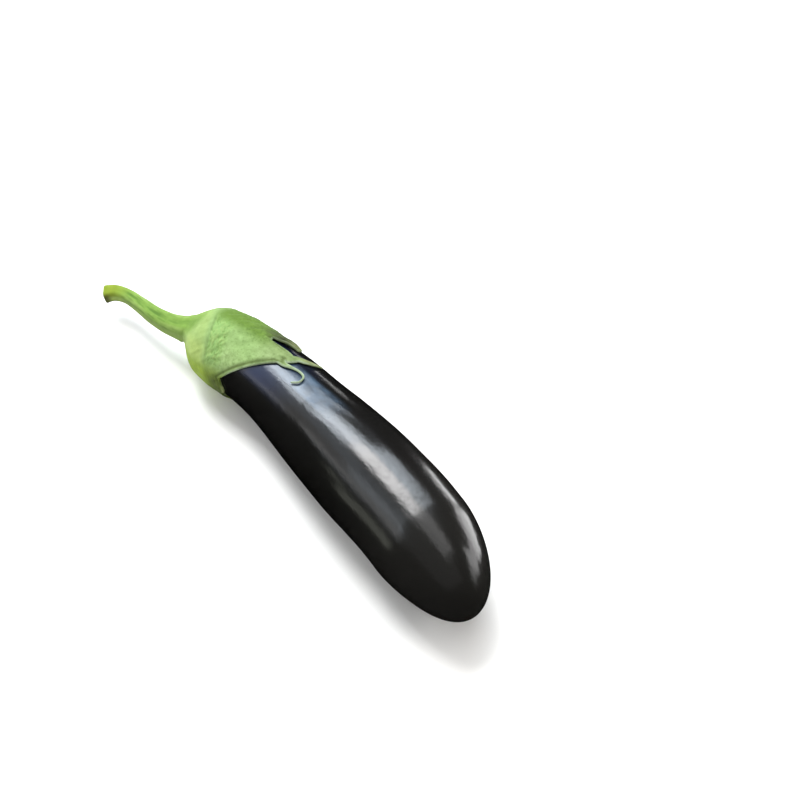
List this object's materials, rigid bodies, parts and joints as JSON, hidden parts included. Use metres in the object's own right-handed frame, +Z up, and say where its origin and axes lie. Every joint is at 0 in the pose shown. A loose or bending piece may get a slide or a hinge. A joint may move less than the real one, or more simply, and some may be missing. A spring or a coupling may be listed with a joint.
{
  "type": "eggplant",
  "caption": "Long dark eggplant lying on its side, with a glossy bowed body, a felted green cap with pointed lobes and a bent, ribbed stem.",
  "frame": {"origin": "middle of the flat on the underside of the fruit that it rests on", "axes": "+X along the fruit towards the blossom end, +Z up from the surface it lies on"},
  "size_m": [0.2742, 0.0626, 0.0533],
  "materials": {
    "fruit_skin": "smooth waxy skin, very dark purple, glossy with a bluish bloom by the cap",
    "green_felt": "matte felted green, paler at the rim and yellower at the stem's end"
  },
  "bodies": {
    "root": {"fruit": "fruit_skin", "calyx_and_stem": "green_felt"}
  },
  "joints": []
}
